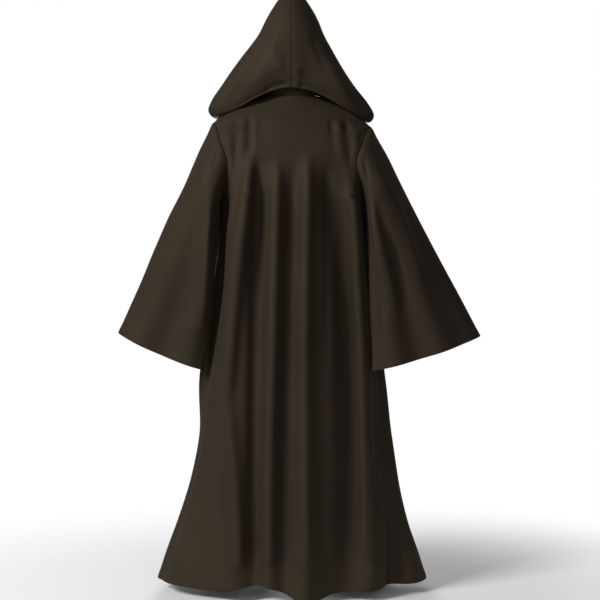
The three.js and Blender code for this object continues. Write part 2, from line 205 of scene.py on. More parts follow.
# The hood's rings, from the neck seam over the shoulders, round the roll and up to the seam over the crown.
HOOD_COLUMNS = "half back front z_side z_back z_front end pull"
HOOD_ROWS = [
    (82, 76, 62, 30, 24, -62, 173.7, 2),
    (96, 83, 70, 37, 38, -54, 171, 2),
    (154, 94, 92, 22, 41, -84, 164, 3),
    (214, 101, 118, -28, 43, -124, 156, 4),
    (240, 105, 134, -12, 58, -100, 149, 4),
    (226, 114, 141, 21, 82, -42, 145, 3.5),
    (191, 118, 146, 65, 112, 14, 143, 3),
    (158, 121, 149, 111, 146, 71, 142, 2.5),
    (129, 121, 151, 155, 182, 128, 142, 2),
    (98, 115, 152, 203, 222, 182, 143, 2),
    (77, 103, 152, 248, 265, 226, 145, 2),
    (59, 86, 150, 280, 295, 253, 148, 2),
    (34, 61, 148, 316, 325, 276, 155, 2),
    (0, 32, 144, 345, 341, 290, 180, 2),
]

# The roll hangs lower over the right shoulder.
RIGHT_LOBE_DROP = 14
LOBE_ROW = 3.5
LOBE_REACH = 2.2
LOBE_RISE = (1, 3)

# Dents and folds of the hood, each round an angle from the seam behind and a row of its table.
HoodFold = namedtuple("HoodFold", "at row reach rows depth")
HOOD_FOLDS = {
    "left": [
        HoodFold(80, 6.6, 40, 2.0, 13),
        HoodFold(22, 6.4, 8, 1.8, 5),
        HoodFold(44, 4.6, 9, 1.3, -6),
        HoodFold(112, 6.0, 12, 2.5, -7),
    ],
    "right": [
        HoodFold(80, 6.6, 40, 2.0, -11),
        HoodFold(16, 5.6, 8, 1.6, -5),
        HoodFold(34, 6.0, 9, 2.0, 5),
        HoodFold(58, 4.8, 10, 1.4, -5),
        HoodFold(112, 6.0, 12, 2.5, -7),
    ],
}

# Smaller creases, listed as they show from behind: three points of each one's path as (x, z), its
# half-width, how far it stands out, or sinks in where that is negative, and the shares of its length over
# which it comes up and dies away.
Crease = namedtuple(
    "Crease", "x_start z_start x_middle z_middle x_end z_end reach depth rise fall", defaults=(0.4, 0.4)
)
CREASES = {
    "back": [
        Crease(112, -108, 160, -520, 188, -900, 18, 12, 0.12, 0.2),
        Crease(184, -840, 164, -1080, 154, -1345, 18, 11, 0.2, 0.05),
        Crease(98, -120, 108, -700, 106, -1345, 20, -10, 0.07, 0.05),
        Crease(38, -116, 58, -700, 70, -1345, 16, 10, 0.1, 0.03),
        Crease(-6, -125, 14, -700, 18, -1350, 15, -6, 0.1, 0.05),
        Crease(-46, -112, -38, -700, -42, -1350, 16, 10, 0.1, 0.03),
        Crease(-100, -150, -101, -480, -98, -860, 12, -4, 0.1, 0.4),
        Crease(-126, -160, -129, -480, -124, -860, 12, 4, 0.1, 0.4),
        Crease(-140, -240, -152, -700, -160, -1345, 34, -12, 0.1, 0.05),
        Crease(-168, -200, -200, -740, -212, -1340, 15, 12, 0.1, 0.05),
        Crease(-236, -700, -248, -1060, -254, -1340, 13, -9, 0.3, 0.05),
        Crease(156, -24, 163, -105, 176, -270, 10, -7, 0.25, 0.6),
        Crease(144, -22, 145, -95, 152, -240, 11, 5, 0.25, 0.6),
        Crease(122, -20, 123, -75, 130, -180, 9, -5, 0.25, 0.6),
        Crease(106, -26, 106, -80, 108, -170, 9, 3, 0.25, 0.6),
        Crease(204, -92, 198, -145, 190, -235, 9, -3, 0.3, 0.6),
        Crease(-152, -26, -166, -105, -186, -270, 11, -8, 0.25, 0.6),
        Crease(-170, -36, -184, -100, -198, -200, 10, 4, 0.3, 0.6),
        Crease(-132, -34, -138, -90, -148, -200, 10, 5, 0.25, 0.6),
        Crease(-114, -26, -117, -70, -124, -160, 9, -4, 0.25, 0.6),
        Crease(-198, -64, -207, -95, -222, -140, 8, -3, 0.3, 0.6),
    ],
    "sleeve_left": [
        Crease(200, -58, 212, -110, 232, -180, 6, -5),
        Crease(186, -70, 192, -125, 205, -200, 8, 5),
        Crease(176, -190, 206, -300, 240, -400, 12, -6),
        Crease(246, -345, 252, -528, 267, -681, 12, 6),
        Crease(285, -400, 300, -560, 316, -640, 24, -7),
        Crease(287, -200, 362, -383, 435, -586, 28, 11),
    ],
    "sleeve_right": [
        Crease(-190, -64, -196, -122, -205, -194, 8, 5),
        Crease(-192, -45, -206, -93, -222, -130, 6, -6),
        Crease(-203, -120, -213, -175, -222, -240, 6, -6),
        Crease(-232, -80, -262, -150, -286, -215, 9, -5),
        Crease(-246, -174, -322, -340, -406, -609, 16, 12),
        Crease(-217, -238, -270, -455, -313, -658, 14, 10),
        Crease(-264, -319, -307, -464, -333, -609, 12, -8),
        Crease(-235, -441, -255, -557, -267, -658, 10, -7),
    ],
    "hood_left": [
        Crease(45, 170, 40, 130, 35, 95, 18, 5),
        Crease(60, 48, 100, 34, 200, -16, 9, -5, 0.2, 0.3),
        Crease(15, 40, 60, 34, 130, 14, 9, 6, 0.2, 0.4),
        Crease(8, 70, 50, 62, 96, 44, 8, -5, 0.1, 0.4),
        Crease(110, 165, 145, 100, 190, 36, 20, 7),
        Crease(66, 262, 76, 190, 96, 110, 15, -6),
    ],
    "hood_right": [
        Crease(-3, 130, -12, 90, -20, 50, 8, 6),
        Crease(-14, 62, -70, 52, -170, -6, 9, -4, 0.1, 0.3),
        Crease(-22, 118, -45, 95, -80, 78, 13, -5),
        Crease(-104, 165, -138, 90, -190, 16, 20, 7),
        Crease(-58, 250, -78, 165, -118, 84, 15, -6),
    ],
}
CREASE_POINTS = 24
CREASE_FACING = 0.35
FAR = 1e9

# The slow unevenness of hanging cloth: how many waves, how deep, and the ranges they are drawn from.
UNEVEN_WAVES = 10
UNEVEN_DEPTH = 0.0016
UNEVEN_ACROSS = (0.03, 0.09)
UNEVEN_DOWN = (0.25, 0.7)
UNEVEN_SWAY = (0.2, 0.8)
UNEVEN_SWAY_DOWN = (0.2, 0.5)
ANY_PHASE = (0, 6.28)

# The grids of the sheets, as rows and columns, and how a grid's lines are placed on the cloth, in metres.
GRIDS = {"back": (215, 205), "front": (205, 100), "sleeve": (110, 190), "hood": (120, 110)}
SAMPLES = 600
NARROW = 0.1
WELD = 0.00005
SEAM_LINES = (0.0, 0.0015, 0.0035, 0.007, 0.013)
HEM_LINES = (0.0, 0.0015, 0.004, 0.010, 0.017, 0.021, 0.0235, 0.026, 0.031)

# Beside a seam the cloth rises over SEAM_SLOPE and sinks back over about twice SEAM_REACH, and creases fade
# over CREASES_FADE.
SEAM_SLOPE = 0.007
SEAM_REACH = 0.02
CREASES_FADE = 0.03

# A hem's step and folded foot, and the line of stitches sunk into it just inside the step.
HEM_STEP = 0.0015
HEM_FOOT = 0.0015
STITCH_INSET = 0.002
STITCH_REACH = 0.0014
STITCH_SINK = 0.7

# The camera stands behind the cloak, about level with its middle, and the lights all face that middle.
CAMERA_AT = Vector((-0.023, 3.5, -0.557))
CAMERA_LENS = 72.4
CAMERA_SENSOR = 36.0
LIGHTS_FACE = Vector((0, 0, -0.55))
LIGHT_PLACES = {"key": (3.2, 2.6, 1.6), "fill": (-0.7, 4.1, 0.1), "front": (0.3, -4.0, -0.2)}
LIGHT_SIZES = {"key": 1.4, "fill": 2.2, "front": 1.8}
SURROUND = (1, 1, 1, 1)
AMBIENT_TINT = (0.97, 0.98, 1, 1)
FLOOR_HALF = 14
FLOOR_DROP = 0.006
FLOOR_FADE = (0.5, 1.6)
FLOOR_ROUGHNESS = 0.9

# The cloth's surface. A wave texture makes about one band to a metre at a scale of BAND_SCALE.
BAND_SCALE = 0.3183
THREAD_WOBBLE = 1.2
THREAD_HEIGHT = 0.6
NAP_SCALE = 420.0
PATCH_SCALE = 5.0
PATCH_TONE = (0.72, 1.28)
FLECK_TONE = (0.82, 1.16)
ROUGHNESS = (0.62, 0.82)
SPECULAR = 0.22
SPECULAR_TINT = (1.0, 0.82, 0.6, 1)
SHEEN = 0.06
SHEEN_ROUGHNESS = 0.4
SHEEN_TINT = (0.6, 0.46, 0.3, 1)
BUMP_STRENGTH = 0.25
BUMP_HEIGHT = 0.0004


class CloakCloth(bpy.types.PropertyGroup):
    colour: bpy.props.FloatVectorProperty(
        name="Cloth colour",
        description="Base colour of the cloth",
        subtype="COLOR",
        size=3,
        min=0.0,
        max=1.0,
        default=(0.0262, 0.0189, 0.0126),
    )
    thickness: bpy.props.FloatProperty(
        name="Thickness",
        description="Thickness of the cloth",
        unit="LENGTH",
        default=0.002,
        min=0.001,
        max=0.003,
    )
    thread: bpy.props.FloatProperty(
        name="Thread",
        description="Distance between two threads of the weave",
        unit="LENGTH",
        default=0.0011,
    )
    hem_depth: bpy.props.FloatProperty(
        name="Hem", description="Depth of the turned-up hem", unit="LENGTH", default=0.024
    )
    hem_rise: bpy.props.FloatProperty(
        name="Hem rise",
        description="How far the doubled cloth of a hem stands out",
        unit="LENGTH",
        default=0.0008,
    )
    seam_rise: bpy.props.FloatProperty(
        name="Seam rise",
        description="How far the cloth stands proud beside a seam",
        unit="LENGTH",
        default=0.0006,
    )


class CloakStage(bpy.types.PropertyGroup):
    key: bpy.props.FloatProperty(
        name="Key light",
        description="Strength of the key light",
        unit="POWER",
        default=205,
    )
    fill: bpy.props.FloatProperty(
        name="Fill light",
        description="Strength of the fill light",
        unit="POWER",
        default=33,
    )
    front: bpy.props.FloatProperty(
        name="Front light",
        description="Strength of the light on the open front",
        unit="POWER",
        default=120,
    )
    ambient: bpy.props.FloatProperty(
        name="Ambient",
        description="Strength of the light from all round",
        default=0.15,
    )
    floor: bpy.props.FloatVectorProperty(
        name="Floor colour",
        description="Colour of the floor",
        subtype="COLOR",
        size=3,
        default=(0.86, 0.86, 0.85),
    )


def table(names, rows):
    """Named columns as arrays."""
    return {name: np.array(column, float) for name, column in zip(names.split(), zip(*rows))}


BODY = table(BODY_COLUMNS, BODY_ROWS)
SLEEVES = {name: table(SLEEVE_COLUMNS, rows) for name, rows in SLEEVE_ROWS.items()}
HOOD = table(HOOD_COLUMNS, HOOD_ROWS)


def along(values, v):
    """A table's column, read smoothly between its rows."""
    last = len(values) - 1
    k = np.clip(np.floor(v).astype(int), 0, last - 1)
    a, b, c, d = (values[np.clip(k + n, 0, last)] for n in (-1, 0, 1, 2))
    t = v - k
    return b + 0.5 * t * (c - a + t * (2 * a - 5 * b + 4 * c - d + t * (3 * (b - c) + d - a)))


def mix(a, b, share):
    """A value that lies a share of the way from a to b."""
    return a + (b - a) * share


def ease(value, low, high):
    """Rises smoothly from 0 at low to 1 at high."""
    share = np.clip((value - low) / (high - low), 0, 1)
    return share * share * (3 - 2 * share)


def hump(angle, middle, reach):
    """A smooth bump of height 1 round the middle, for angles in degrees and for rows."""
    away = (angle - middle + 180) % 360 - 180
    return np.exp(-((away / reach) ** 2))


def unit(vectors):
    """The same directions, with length 1."""
    return vectors / np.maximum(np.linalg.norm(vectors, axis=-1, keepdims=True), 1e-12)


def signed_power(value, exponent):
    """A power of the size of a value, with its sign kept."""
    return np.sign(value) * np.abs(value) ** exponent


def curve(start, middle, end, share):
    """A smooth line through three values, read at a share of the way along it."""
    early = (1 - share) * (1 - 2 * share)
    late = share * (2 * share - 1)
    return start * early + middle * 4 * share * (1 - share) + end * late


def ring_point(angle, half, back, front, square):
    """A point of a rounded ring in plan, and the way out from it."""
    s, c = np.sin(angle), np.cos(angle)
    depth = np.where(c > 0, back, front)
    flat = np.zeros_like(s)
    round_off = 2 / square
    at = np.stack([half * signed_power(s, round_off), depth * signed_power(c, round_off), flat], -1)
    out = np.stack([depth * signed_power(s, 2 - round_off), half * signed_power(c, 2 - round_off), flat], -1)
    return at, unit(out)


def fold_depth(degrees, z):
    """How far the body's long folds stand out at an angle and height."""
    depth = np.zeros_like(degrees)
    for fold in FOLDS:
        down = np.clip((fold.start - z) / (fold.start - fold.end), 0, 1)
        place = curve(fold.top, fold.middle, fold.low, down)
        reach = mix(fold.reach_top, fold.reach_low, down)
        height = mix(fold.depth_middle, fold.depth_low, ease(down, 0.5, 1)) * ease(down, 0, FOLD_RISE)
        depth += height * hump(degrees, place, reach)
    return depth


def body_point(angle, v):
    """A point of the body, at an angle from the centre back and a row of its table."""
    row = {name: along(column, v) for name, column in BODY.items()}
    at, out = ring_point(angle, row["half"], row["back"], row["front"], row["square"])
    c = np.cos(angle)
    end = np.where(c > 0, row["z_back"], row["z_front"])
    at[..., 2] = row["z_side"] + c * c * (end - row["z_side"])
    at += out * fold_depth(np.degrees(angle), at[..., 2])[..., None]
    near_hem = ease(v, WAVE_ROW, len(BODY_ROWS) - 1)
    for wave in HEM_WAVES:
        at[..., 2] -= wave.drop * hump(np.degrees(angle), wave.at, wave.reach) * near_hem
    near_shoulder = 1 - ease(v, TIP_ROW, UNDERARM_ROW)
    at[..., 2] -= RIGHT_SHOULDER_DROP * ease(-at[..., 0], DROP_FROM, DROP_TO) * near_shoulder
    return at


def armhole_angle(column, v):
    """The angle of an armhole's edge, which lies on the side seam above and below the hole."""
    degrees = along(BODY[column], v)
    return np.radians(np.minimum(degrees, 90) if column == "arm_back" else np.maximum(degrees, 90))


def front_edge(v):
    """The angle of the front edge, so that the gap between the fronts widens from the neck to the hem."""
    reach = mix(NECK_GAP, HEM_GAP, v / (len(BODY_ROWS) - 1)) / along(BODY["half"], v)
    return np.pi - np.arcsin(reach ** (along(BODY["square"], v) / 2))


def armhole_point(side, share):
    """A point of the armhole's outline, from the shoulder tip down behind and up before, and the way out."""
    span = UNDERARM_ROW - TIP_ROW
    place = (share % 1) * 2 * span
    v = np.where(place <= span, TIP_ROW + place, UNDERARM_ROW + span - place)
    angle = side * np.where(place <= span, armhole_angle("arm_back", v), armhole_angle("arm_front", v))
    round_it = body_point(angle + NORMAL_STEP, v) - body_point(angle - NORMAL_STEP, v)
    down = body_point(angle, v + NORMAL_STEP) - body_point(angle, v - NORMAL_STEP)
    return body_point(angle, v), unit(np.cross(round_it, down))


def sleeve_point(name, angle, v):
    """A point of a sleeve, at an angle from over the arm round behind it."""
    row = {key: along(column, v) for key, column in SLEEVES[name].items()}
    share = row["along"]
    flat = np.zeros_like(share)
    over = np.stack([row["over"], flat, row["over_down"]], -1)
    under = np.stack([row["under"], row["under_back"], row["under_down"]], -1)
    c, s = np.cos(angle), np.sin(angle)
    taper = 1 - CUFF_TAPER * share * (1 - c) / 2
    fold = np.zeros_like(share)
    for f in SLEEVE_FOLDS[name]:
        size = mix(f.depth_top, f.depth_cuff, share) * ease(share, 0, 2 * BLEND_LENGTH)
        place = mix(f.at_top, f.at_cuff, share)
        reach = mix(f.reach_top, f.reach_cuff, share)
        fold += size * hump(np.degrees(angle), place, reach)
    section = (over + under) / 2 + (over - under) * (c / 2)[..., None]
    section[..., 1] += s * (np.where(s > 0, row["back"], row["front"]) * taper + fold)
    section[..., 2] -= CUFF_SAG * s * s * share**3
    section[..., 0] *= SIDES[name]
    edge, out = armhole_point(SIDES[name], angle / (2 * np.pi))
    blend = ease(share, 0, BLEND_LENGTH)
    edge += out * (SLEEVE_PUFF * ease(share, 0, BLEND_LENGTH / 2) * (1 - blend))[..., None]
    return mix(edge, section, blend[..., None])


def hood_point(name, share, v):
    """A point of a hood half, at a share of the way from the seam behind to the face edge."""
    row = {key: along(column, v) for key, column in HOOD.items()}
    degrees = np.where(share < 0.5, 180 * share, 90 + (2 * share - 1) * (row["end"] - 90))
    angle = np.radians(degrees)
    half = np.maximum(row["half"], 0)
    at, out = ring_point(angle, half, row["back"], row["front"], 2)
    c = np.cos(angle)
    weight = np.abs(c) ** row["pull"]
    at[..., 2] = row["z_side"] + weight * (np.where(c > 0, row["z_back"], row["z_front"]) - row["z_side"])
    if name == "right":
        drop = RIGHT_LOBE_DROP * hump(v, LOBE_ROW, LOBE_REACH) * (1 - np.abs(c)) * ease(v, *LOBE_RISE)
        at[..., 2] -= drop
    for f in HOOD_FOLDS[name]:
        at += out * (f.depth * hump(degrees, f.at, f.reach) * hump(v, f.row, f.rows))[..., None]
    at[..., 0] = SIDES[name] * np.maximum(at[..., 0], 0)
    return at


def distances(points):
    """How far along a line of points each one lies."""
    return np.concatenate([[0], np.cumsum(np.linalg.norm(np.diff(points, axis=0), axis=1))])


def spaced(length, count, near_start, near_end):
    """Distances from 0 to length: the given ones close to each end, and the rest evenly between them."""
    middle = np.linspace(near_start[-1], length - near_end[-1], count - len(near_start) - len(near_end) + 2)
    return np.concatenate([near_start, middle[1:-1], length - np.array(near_end[::-1])])


def lay_out(surface, rows, columns, near):
    """A grid of points on a surface given by two shares, spaced evenly along the cloth, with closer lines
    near its edges. Returns the points in metres, and each one's distance across and down the cloth."""
    fine = np.linspace(0, 1, SAMPLES)
    middle = surface(np.full_like(fine, 0.5), fine) * MM
    run = distances(middle)
    down = spaced(run[-1], rows, near["top"], near["bottom"])
    shares_down = np.interp(down, run, fine)
    points = np.empty((rows, columns, 3))
    across = np.empty((rows, columns))
    for j, share in enumerate(shares_down):
        line = surface(fine, np.full_like(fine, share)) * MM
        run = distances(line)
        width = run[-1]
        if width > NARROW:
            across[j] = spaced(width, columns, near["start"], near["end"])
        else:
            across[j] = np.linspace(0, width, columns)
        places = np.interp(across[j], run, fine)
        points[j] = surface(places, np.full_like(places, share)) * MM
    return points, across, np.repeat(down[:, None], columns, 1)


def area_of(points):
    """The area of the cloth that a grid of points covers."""
    one = points[1:, 1:] - points[:-1, :-1]
    other = points[1:, :-1] - points[:-1, 1:]
    return float(np.linalg.norm(np.cross(one, other), axis=-1).sum() / 2)


def normals_of(points):
    """The way out of the cloth at each point of a grid."""
    down, round_it = np.gradient(points, axis=(0, 1))
    return unit(np.cross(round_it, down))


def crease_depth(piece, points, normals):
    """How far the small creases stand out, for points seen from the camera's distance behind the cloak."""
    depth = np.zeros(points.shape[:2])
    camera = np.array(CAMERA_AT)
    scale = camera[1] / (camera[1] - points[..., 1])
    x = (camera[0] + (points[..., 0] - camera[0]) * scale) / MM
    z = (camera[2] + (points[..., 2] - camera[2]) * scale) / MM
    facing = ease(normals[..., 1], 0.0, CREASE_FACING)
    t = np.linspace(0, 1, CREASE_POINTS)
    for crease in CREASES.get(piece, []):
        path_x = curve(crease.x_start, crease.x_middle, crease.x_end, t)
        path_z = curve(crease.z_start, crease.z_middle, crease.z_end, t)
        best = np.full(depth.shape, FAR)
        share = np.zeros(depth.shape)
        for k in range(len(t) - 1):
            dx = path_x[k + 1] - path_x[k]
            dz = path_z[k + 1] - path_z[k]
            s = np.clip(((x - path_x[k]) * dx + (z - path_z[k]) * dz) / (dx * dx + dz * dz), 0, 1)
            away = np.hypot(x - path_x[k] - s * dx, z - path_z[k] - s * dz)
            closer = away < best
            best = np.where(closer, away, best)
            share = np.where(closer, t[k] + s * (t[1] - t[0]), share)
        window = ease(share, 0, crease.rise) * (1 - ease(share, 1 - crease.fall, 1))
        depth += crease.depth * np.exp(-((best / crease.reach) ** 2)) * window
    return depth * facing * MM


def unevenness(across, down, size, rng):
    """A faint unevenness of hanging cloth, longer down the cloth than across it."""
    depth = np.zeros_like(across)
    for _ in range(UNEVEN_WAVES):
        wide = rng.uniform(*UNEVEN_ACROSS)
        tall = rng.uniform(*UNEVEN_DOWN)
        sway = rng.uniform(*UNEVEN_SWAY)
        sway = sway * np.sin(down / rng.uniform(*UNEVEN_SWAY_DOWN) + rng.uniform(*ANY_PHASE))
        wave_across = np.sin(across / wide + sway + rng.uniform(*ANY_PHASE))
        wave_down = np.sin(down / tall + rng.uniform(*ANY_PHASE))
        depth += wave_across * wave_down
    return size * depth / UNEVEN_WAVES


def sheet_mesh(name, points, across, down, tube=False):
    """A sheet of cloth from a flat grid, moved to its place, with the cloth's own lengths as its UV map."""
    rows, columns = points.shape[:2]
    bm = bmesh.new()
    layer = bm.loops.layers.uv.new("cloth")
    bmesh.ops.create_grid(bm, x_segments=columns - 1, y_segments=rows - 1, size=0.5, calc_uvs=True)
    middle = across[:, -1:] / 2
    for face in bm.faces:
        for loop in face.loops:
            i = round(loop[layer].uv.x * (columns - 1))
            j = round(loop[layer].uv.y * (rows - 1))
            loop[layer].uv = (across[j, i] - middle[j, 0], -down[j, i])
    for vert in bm.verts:
        i = round((vert.co.x + 0.5) * (columns - 1))
        j = round((vert.co.y + 0.5) * (rows - 1))
        vert.co = points[j, i]
    if tube:
        edge = [v for v in bm.verts if v.is_boundary]
        bmesh.ops.remove_doubles(bm, verts=edge, dist=WELD)
    bm.normal_update()
    for face in bm.faces:
        face.smooth = True
    mesh = bpy.data.meshes.new(name)
    bm.to_mesh(mesh)
    bm.free()
    return mesh


def finish_sheet(name, mesh, thickness, material):
    """Puts a sheet in the scene as the piece that stands for its CAD node."""
    obj = bpy.data.objects.new(f"cloth_{name}", mesh)
    bpy.context.collection.objects.link(obj)
    mesh.materials.append(material)
    shell = obj.modifiers.new("Thickness", "SOLIDIFY")
    shell.thickness = thickness
    shell.offset = -1
    shell.use_even_offset = False
    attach(obj, "root")
    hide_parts(name)


def sewn(distance, rise):
    """The cloth lies proud beside a seam, so that the seam itself is a groove."""
    return rise * ease(distance, 0.0, SEAM_SLOPE) * np.exp(-((distance / SEAM_REACH) ** 2))


def hemmed(distance, depth, rise):
    """The doubled cloth of a hem: a faint step at its stitched edge and a rounded fold at its foot."""
    step = rise * (1 - ease(distance, depth - HEM_STEP, depth + HEM_STEP))
    line = -STITCH_SINK * rise * np.exp(-(((distance - depth + STITCH_INSET) / STITCH_REACH) ** 2))
    foot = -rise * np.exp(-((distance / HEM_FOOT) ** 2))
    return step + line + foot


def dress(name, surface, grid, near, edges, cloth, tube=False, flip=1):
    """Lays out a piece, adds its small creases, seams and hems, and returns its mesh and flat sizes."""
    points, across, down = lay_out(surface, *grid, near)
    area = area_of(points)
    out = normals_of(points) * flip
    rng = np.random.default_rng(SEED + len(name))
    creases = crease_depth(name, points, out)
    depth = np.zeros_like(across)
    gaps = {
        "start": across,
        "end": across[:, -1:] - across,
        "top": down,
        "bottom": down[-1, 0] - down,
    }
    still = np.ones_like(across)
    for edge, kind in edges.items():
        if kind == "seam":
            depth += sewn(gaps[edge], cloth.seam_rise)
            still = still * ease(gaps[edge], 0.0, CREASES_FADE)
        if kind == "hem":
            depth += hemmed(gaps[edge], cloth.hem_depth, cloth.hem_rise)
    depth += (creases + unevenness(across, down, UNEVEN_DEPTH, rng)) * still
    points = points + out * depth[..., None]
    mesh = sheet_mesh(f"cloth_{name}", points, across, down, tube)
    return mesh, (float(across[:, -1].max()), float(down[-1, 0])), area


class CLOAK_OT_body(bpy.types.Operator):
    """Makes the back and the two fronts, from the neck seam to the hem"""

    bl_idname = "cloak.body"
    bl_label = "Body"

    def execute(self, context):
        cloth = context.scene.cloak_cloth
        material = cloth_material(cloth)
        last = len(BODY_ROWS) - 1
        near = {"top": SEAM_LINES, "bottom": HEM_LINES, "start": SEAM_LINES, "end": SEAM_LINES}

        def back(share, down):
            v = down * last
            return body_point(mix(-armhole_angle("arm_back", v), armhole_angle("arm_back", v), share), v)

        def front(side):
            def surface(share, down):
                v = down * last
                return body_point(side * mix(armhole_angle("arm_front", v), front_edge(v), share), v)

            return surface

        edges = {"top": "seam", "bottom": "hem", "start": "seam", "end": "seam"}
        mesh, flat, area = dress("back", back, GRIDS["back"], near, edges, cloth)
        finish_sheet("back", mesh, cloth.thickness, material)
        near = near | {"end": HEM_LINES}
        edges = edges | {"end": "hem"}
        for name, side in SIDES.items():
            piece = f"front_{name}"
            mesh, flat, area = dress(piece, front(side), GRIDS["front"], near, edges, cloth, flip=side)
            if side < 0:
                mesh.flip_normals()
            finish_sheet(piece, mesh, cloth.thickness, material)
        return {"FINISHED"}


class CLOAK_OT_sleeves(bpy.types.Operator):
    """Makes the two bell sleeves, each a tube with a seam under the arm"""

    bl_idname = "cloak.sleeves"
    bl_label = "Sleeves"

    def execute(self, context):
        cloth = context.scene.cloak_cloth
        material = cloth_material(cloth)
        near = {"top": SEAM_LINES, "bottom": HEM_LINES, "start": SEAM_LINES, "end": SEAM_LINES}
        edges = {"top": "seam", "bottom": "hem", "start": "seam", "end": "seam"}
        for name, side in SIDES.items():
            last = len(SLEEVE_ROWS[name]) - 1

            def surface(share, down):
                return sleeve_point(name, np.pi - side * share * 2 * np.pi, down * last)

            piece = f"sleeve_{name}"
            mesh, flat, area = dress(piece, surface, GRIDS["sleeve"], near, edges, cloth, tube=True)
            finish_sheet(piece, mesh, cloth.thickness, material)
        return {"FINISHED"}


class CLOAK_OT_hood(bpy.types.Operator):
    """Makes the two halves of the hood, sewn together over the crown and down behind"""

    bl_idname = "cloak.hood"
    bl_label = "Hood"

    def execute(self, context):
        cloth = context.scene.cloak_cloth
        material = cloth_material(cloth)
        near = {"top": SEAM_LINES, "bottom": SEAM_LINES, "start": SEAM_LINES, "end": HEM_LINES}
        edges = {"top": "seam", "bottom": "seam", "start": "seam", "end": "hem"}
        last = len(HOOD_ROWS) - 1
        for name, side in SIDES.items():

            def surface(share, up):
                return hood_point(name, share, up * last)

            piece = f"hood_{name}"
            mesh, flat, area = dress(piece, surface, GRIDS["hood"], near, edges, cloth, flip=-side)
            if side > 0:
                mesh.flip_normals()
            finish_sheet(piece, mesh, cloth.thickness, material)
        return {"FINISHED"}


class CLOAK_OT_stage(bpy.types.Operator):
    """Makes the plain floor, the soft lights and the camera"""

    bl_idname = "cloak.stage"
    bl_label = "Stage"

    def execute(self, context):
        stage = context.scene.cloak_stage
        bm = bmesh.new()
        bmesh.ops.create_grid(bm, x_segments=2, y_segments=2, size=FLOOR_HALF)
        bmesh.ops.translate(bm, verts=bm.verts, vec=(0, 0, cad_box[0].z - FLOOR_DROP))
        mesh = bpy.data.meshes.new("floor")
        bm.to_mesh(mesh)
        bm.free()
        floor = bpy.data.objects.new("floor", mesh)
        context.collection.objects.link(floor)
        mesh.materials.append(floor_material(stage))
        for name, place in LIGHT_PLACES.items():
            data = bpy.data.lights.new(f"{name}_light", "AREA")
            data.energy = getattr(stage, name)
            data.size = LIGHT_SIZES[name]
            light = bpy.data.objects.new(f"{name}_light", data)
            context.collection.objects.link(light)
            light.location = place
            light.rotation_euler = (LIGHTS_FACE - Vector(place)).to_track_quat("-Z", "Y").to_euler()
        context.scene.world = studio_world(stage)
        data = bpy.data.cameras.new("camera")
        data.lens = CAMERA_LENS
        data.sensor_width = CAMERA_SENSOR
        camera = bpy.data.objects.new("camera", data)
        context.collection.objects.link(camera)
        camera.location = CAMERA_AT
        camera.rotation_euler = (math.pi / 2, 0, math.pi)
        context.scene.camera = camera
        context.scene.view_settings.view_transform = "Standard"
        return {"FINISHED"}


def studio_world(stage):
    """A surround that the camera sees as plain white, and that lights the cloak only faintly."""
    world = bpy.data.worlds.new("studio")
    world.use_nodes = True
    nodes, links = world.node_tree.nodes, world.node_tree.links
    nodes.clear()
    seen = nodes.new("ShaderNodeBackground")
    seen.inputs["Color"].default_value = SURROUND
    seen.inputs["Strength"].default_value = 1.0
    lit = nodes.new("ShaderNodeBackground")
    lit.inputs["Color"].default_value = AMBIENT_TINT
    lit.inputs["Strength"].default_value = stage.ambient
    path = nodes.new("ShaderNodeLightPath")
    choose = nodes.new("ShaderNodeMixShader")
    output = nodes.new("ShaderNodeOutputWorld")
    links.new(path.outputs["Is Camera Ray"], choose.inputs["Fac"])
    links.new(lit.outputs["Background"], choose.inputs[1])
    links.new(seen.outputs["Background"], choose.inputs[2])
    links.new(choose.outputs["Shader"], output.inputs["Surface"])
    return world


def group(name, inputs, outputs):
    """An empty shader node group with named sockets, and its input and output nodes."""
    tree = bpy.data.node_groups.new(name, "ShaderNodeTree")
    for label, kind, default in inputs:
        socket = tree.interface.new_socket(name=label, in_out="INPUT", socket_type=kind)
        if default is not None:
            socket.default_value = default
    for label, kind in outputs:
        tree.interface.new_socket(name=label, in_out="OUTPUT", socket_type=kind)
    return tree, tree.nodes.new("NodeGroupInput"), tree.nodes.new("NodeGroupOutput")


